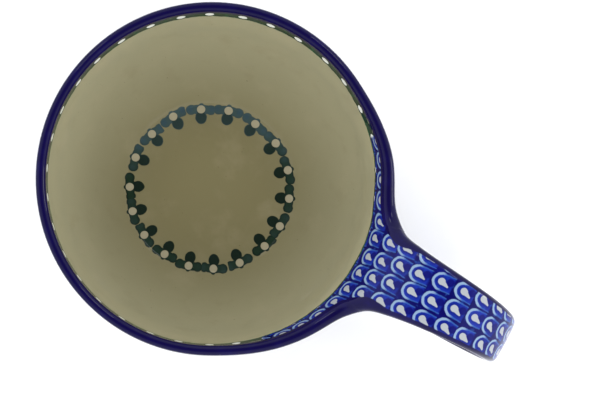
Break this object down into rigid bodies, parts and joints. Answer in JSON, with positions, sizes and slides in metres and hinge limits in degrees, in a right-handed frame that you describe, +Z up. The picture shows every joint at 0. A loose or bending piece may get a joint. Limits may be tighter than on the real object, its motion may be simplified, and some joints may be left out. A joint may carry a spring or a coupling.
{
  "type": "stoneware mug",
  "caption": "Wide hand-decorated stoneware soup mug with a broad strap handle that rises out of the lip, arches over and returns to the lower wall.",
  "frame": {"origin": "centre of the foot ring's standing face, on the surface that the mug stands on", "axes": "+Z up along the bowl's axis, out of its mouth; +X from the bowl's axis towards the handle; +Y completes a right-handed frame"},
  "size_m": [0.205, 0.14, 0.088],
  "materials": {
    "glazed_body": "clear gloss glaze over a khaki-cream stoneware body with stamped underglaze flowers and a cobalt lip",
    "cobalt_strap": "clear gloss glaze over stamped cobalt scale pattern with cream drops",
    "bare_clay": "bare, unglazed fired stoneware, matt"
  },
  "bodies": {
    "root": {"bowl_body": "glazed_body", "foot_ring": "bare_clay", "upper_slip_joint": "cobalt_strap", "handle_strap": "cobalt_strap", "lower_slip_joint": "cobalt_strap"}
  },
  "joints": []
}
